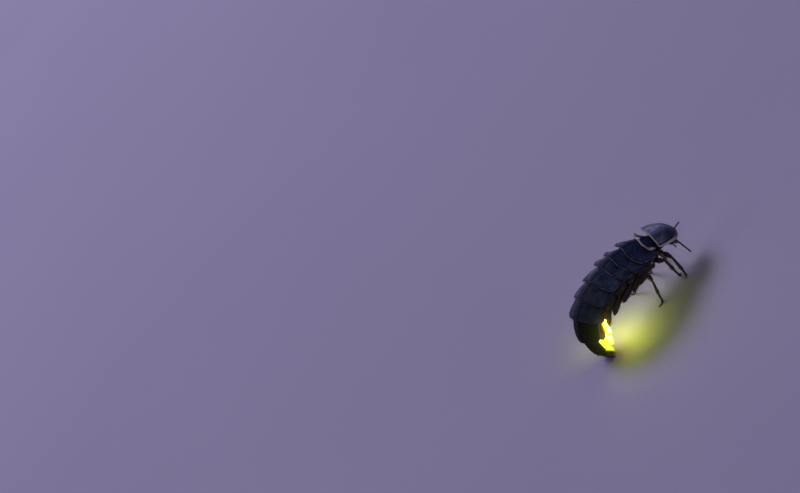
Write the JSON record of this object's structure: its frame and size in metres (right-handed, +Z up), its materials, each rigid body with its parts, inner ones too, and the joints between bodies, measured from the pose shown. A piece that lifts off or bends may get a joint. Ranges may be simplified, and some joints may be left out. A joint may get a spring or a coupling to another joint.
{
  "type": "female glow-worm model",
  "caption": "Still life-size model of a wingless female glow-worm, resting on its feet and on the tip of its curled, glowing tail.",
  "frame": {"origin": "middle of the base of the box round the animal, on the floor it rests on", "axes": "+X towards the head, +Y to the animal's left, +Z up from the floor"},
  "size_m": [0.0178, 0.008, 0.0081],
  "materials": {
    "shield": "satin slate cuticle with a paler rim",
    "plate": "satin charcoal cuticle with fine punctures and a narrow pale rim",
    "trunk": "dark reddish brown membrane and belly plates",
    "lantern": "translucent cream cuticle that glows yellow-green",
    "eye": "glossy black with fine facets",
    "limb": "satin dark brown cuticle with short hairs",
    "hair": "fine pale brown hairs"
  },
  "bodies": {
    "root": {"prothorax": "shield", "head": "trunk", "eye_right": "eye", "eye_left": "eye", "antenna_right": "limb", "antenna_left": "limb", "mesothorax": "plate", "metathorax": "plate", "abdomen_1": "plate", "abdomen_2": "plate", "abdomen_3": "plate", "abdomen_4": "plate", "abdomen_5": "plate", "abdomen_6": "plate", "lantern_6": "lantern", "abdomen_7": "plate", "lantern_7": "lantern", "abdomen_8": "plate", "leg_front_right": "limb", "leg_middle_right": "limb", "leg_hind_right": "limb", "leg_front_left": "limb", "leg_middle_left": "limb", "leg_hind_left": "limb"}
  },
  "joints": []
}
